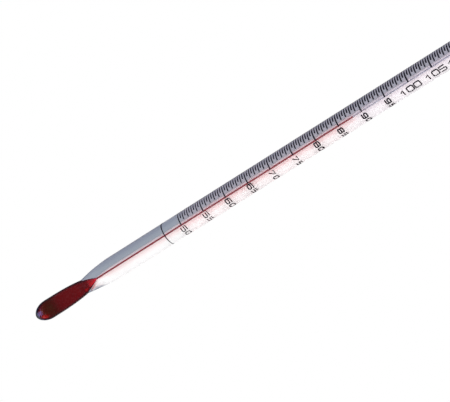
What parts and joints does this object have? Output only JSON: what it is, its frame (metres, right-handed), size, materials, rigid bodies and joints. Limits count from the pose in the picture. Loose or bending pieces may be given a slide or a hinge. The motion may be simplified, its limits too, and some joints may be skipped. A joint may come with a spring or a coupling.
{
  "type": "laboratory thermometer",
  "caption": "Solid-stem glass thermometer with a red spirit column, a white enamel backing, a ring mark for immersion and degree lines fired round the stem.",
  "frame": {"origin": "on the axis of the stem, at the immersion line, where the stem meets the liquid or the stopper", "axes": "+Z along the stem, from the bulb to the rounded top; the scale faces -Y, with its numbers on the +X side, and the white enamel stripe is at +Y"},
  "size_m": [0.0064, 0.0063, 0.203],
  "materials": {
    "clear_glass": "fire-polished",
    "opal_glass": "opaque white",
    "red_spirit": "clear dyed liquid",
    "fired_pigment": "matt"
  },
  "bodies": {
    "root": {"stem_glass": "clear_glass", "bulb_glass": "clear_glass", "enamel_backing": "opal_glass", "bulb_liquid": "red_spirit", "immersion_line": "fired_pigment", "lines_5_degree": "fired_pigment", "lines_1_degree": "fired_pigment", "lines_half_degree": "fired_pigment"},
    "spirit_column": {"capillary_thread": "red_spirit", "meniscus": "red_spirit"}
  },
  "joints": [
    {"name": "temperature", "type": "slide", "parent": "root", "child": "spirit_column", "axis": [0, 0, 1], "range_m": [-0.05577, 0.06359], "deforming": ["capillary_thread"]}
  ]
}
